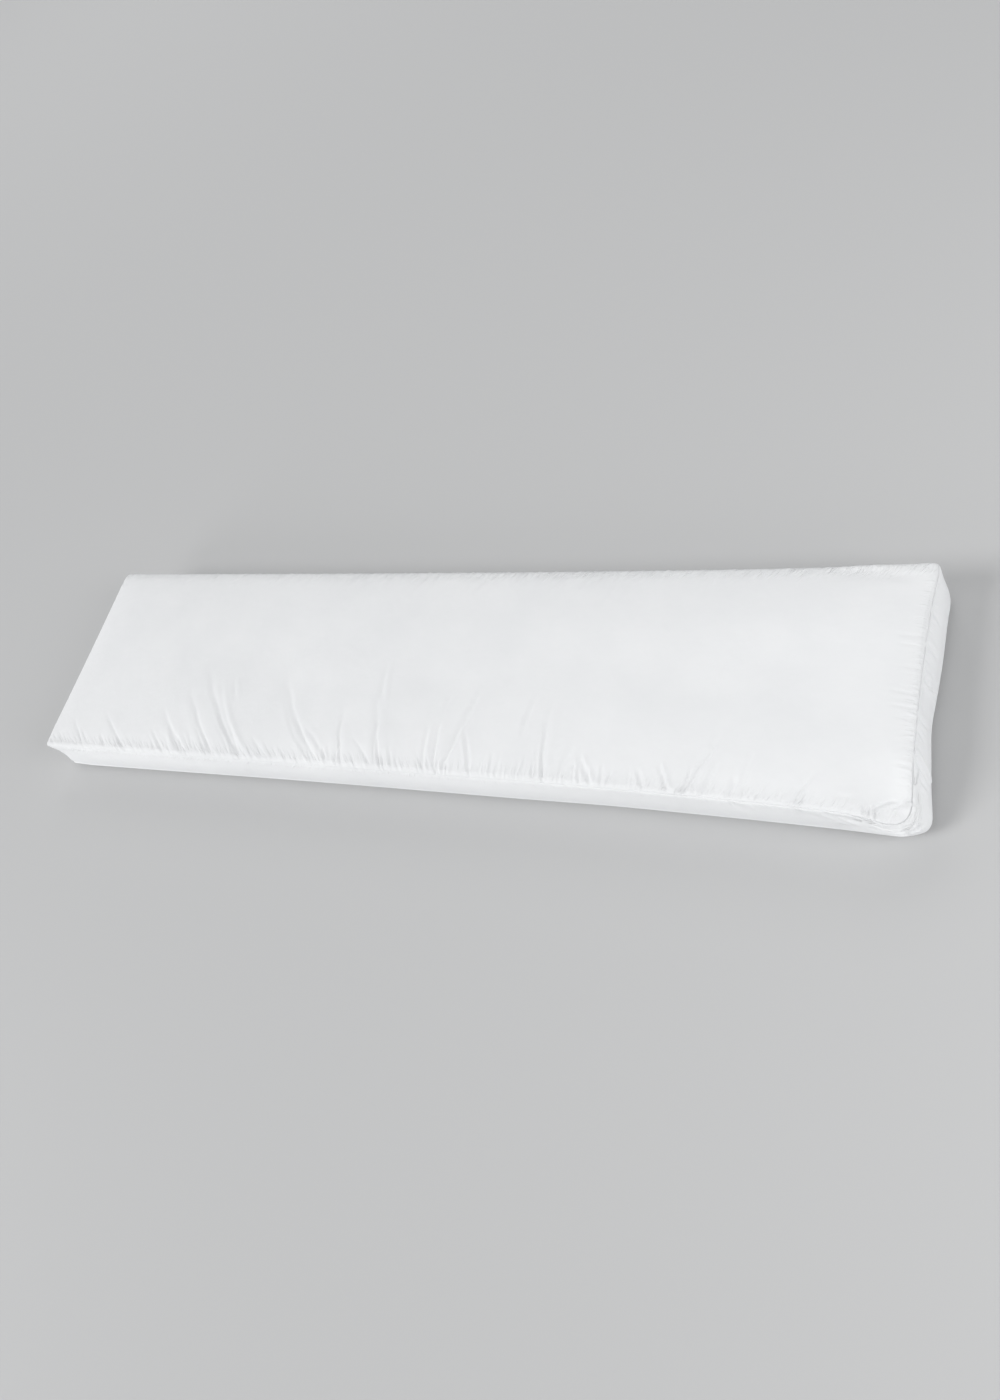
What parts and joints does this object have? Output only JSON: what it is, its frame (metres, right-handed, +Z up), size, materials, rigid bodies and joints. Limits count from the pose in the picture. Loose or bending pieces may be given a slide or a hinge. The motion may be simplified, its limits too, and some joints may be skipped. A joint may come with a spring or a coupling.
{
  "type": "body pillow",
  "caption": "Long filled body pillow with a crowned front panel, a sewn gusset band all round and a flat resting back panel, in white cotton.",
  "frame": {"origin": "on the resting surface, under the middle of the pillow's box", "axes": "+X along the pillow, towards its slumped corner's end, +Y across it, away from the gathered long side, +Z up out of its crowned front panel"},
  "size_m": [1.632, 0.4112, 0.106],
  "materials": {
    "white_cotton": "matt white cotton of a close plain weave, filled tight, with soft gathers along its seams"
  },
  "bodies": {
    "root": {"pillow": "white_cotton"}
  },
  "joints": []
}
